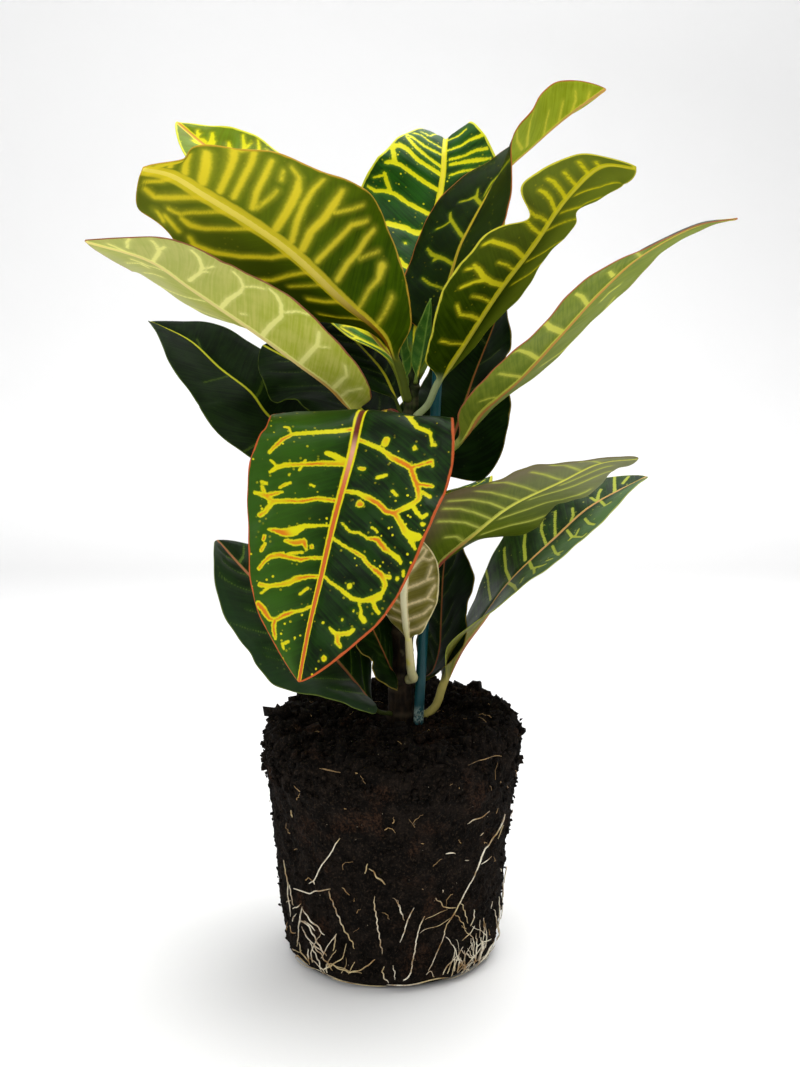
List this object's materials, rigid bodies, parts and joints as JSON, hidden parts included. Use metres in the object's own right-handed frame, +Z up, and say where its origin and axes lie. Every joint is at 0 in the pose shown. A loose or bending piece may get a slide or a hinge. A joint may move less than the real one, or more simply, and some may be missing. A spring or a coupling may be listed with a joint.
{
  "type": "croton plant with bare root ball",
  "caption": "Croton with broad, waved, yellow-veined leaves on one woody stem, held by a thin stake in a moulded peat root ball.",
  "frame": {"origin": "middle of the flat spot under the root ball, on which the plant stands", "axes": "+Z up along the plant, +X to the right and -Y towards the viewer as the plant is pictured"},
  "size_m": [0.2472, 0.2033, 0.3939],
  "materials": {
    "leaf": "glossy living leaf, dark green with yellow veins and orange-red midribs, paler underneath",
    "pale_leaf": "satin living leaf seen from below, brown olive with a wide cream midrib",
    "young_leaf": "satin young leaf, bright green to brownish pink",
    "peat": "dull, crumbly, moist dark brown peat with light fibres",
    "roots": "satin cream to light brown roots",
    "bark": "dull woody bark with paler leaf scars, green towards the tip",
    "stake": "smooth teal blue coating with one scuffed whitish patch"
  },
  "bodies": {
    "root": {"root_ball": "peat", "surface_roots": "roots", "stem": "bark", "stake": "stake", "leaf_01": "leaf", "leaf_02": "leaf", "leaf_03": "pale_leaf", "leaf_04": "leaf", "leaf_05": "leaf", "leaf_06": "leaf", "leaf_07": "leaf", "leaf_08": "leaf", "leaf_09": "leaf", "leaf_10": "leaf", "leaf_11": "leaf", "leaf_12": "leaf", "leaf_13": "leaf", "leaf_14": "leaf", "leaf_15": "leaf", "leaf_16": "leaf", "leaf_17": "leaf", "leaf_18": "leaf", "leaf_19": "leaf", "leaf_20": "leaf", "leaf_21": "leaf", "leaf_22": "leaf", "young_leaf_01": "young_leaf", "young_leaf_02": "young_leaf", "young_leaf_03": "young_leaf"}
  },
  "joints": []
}
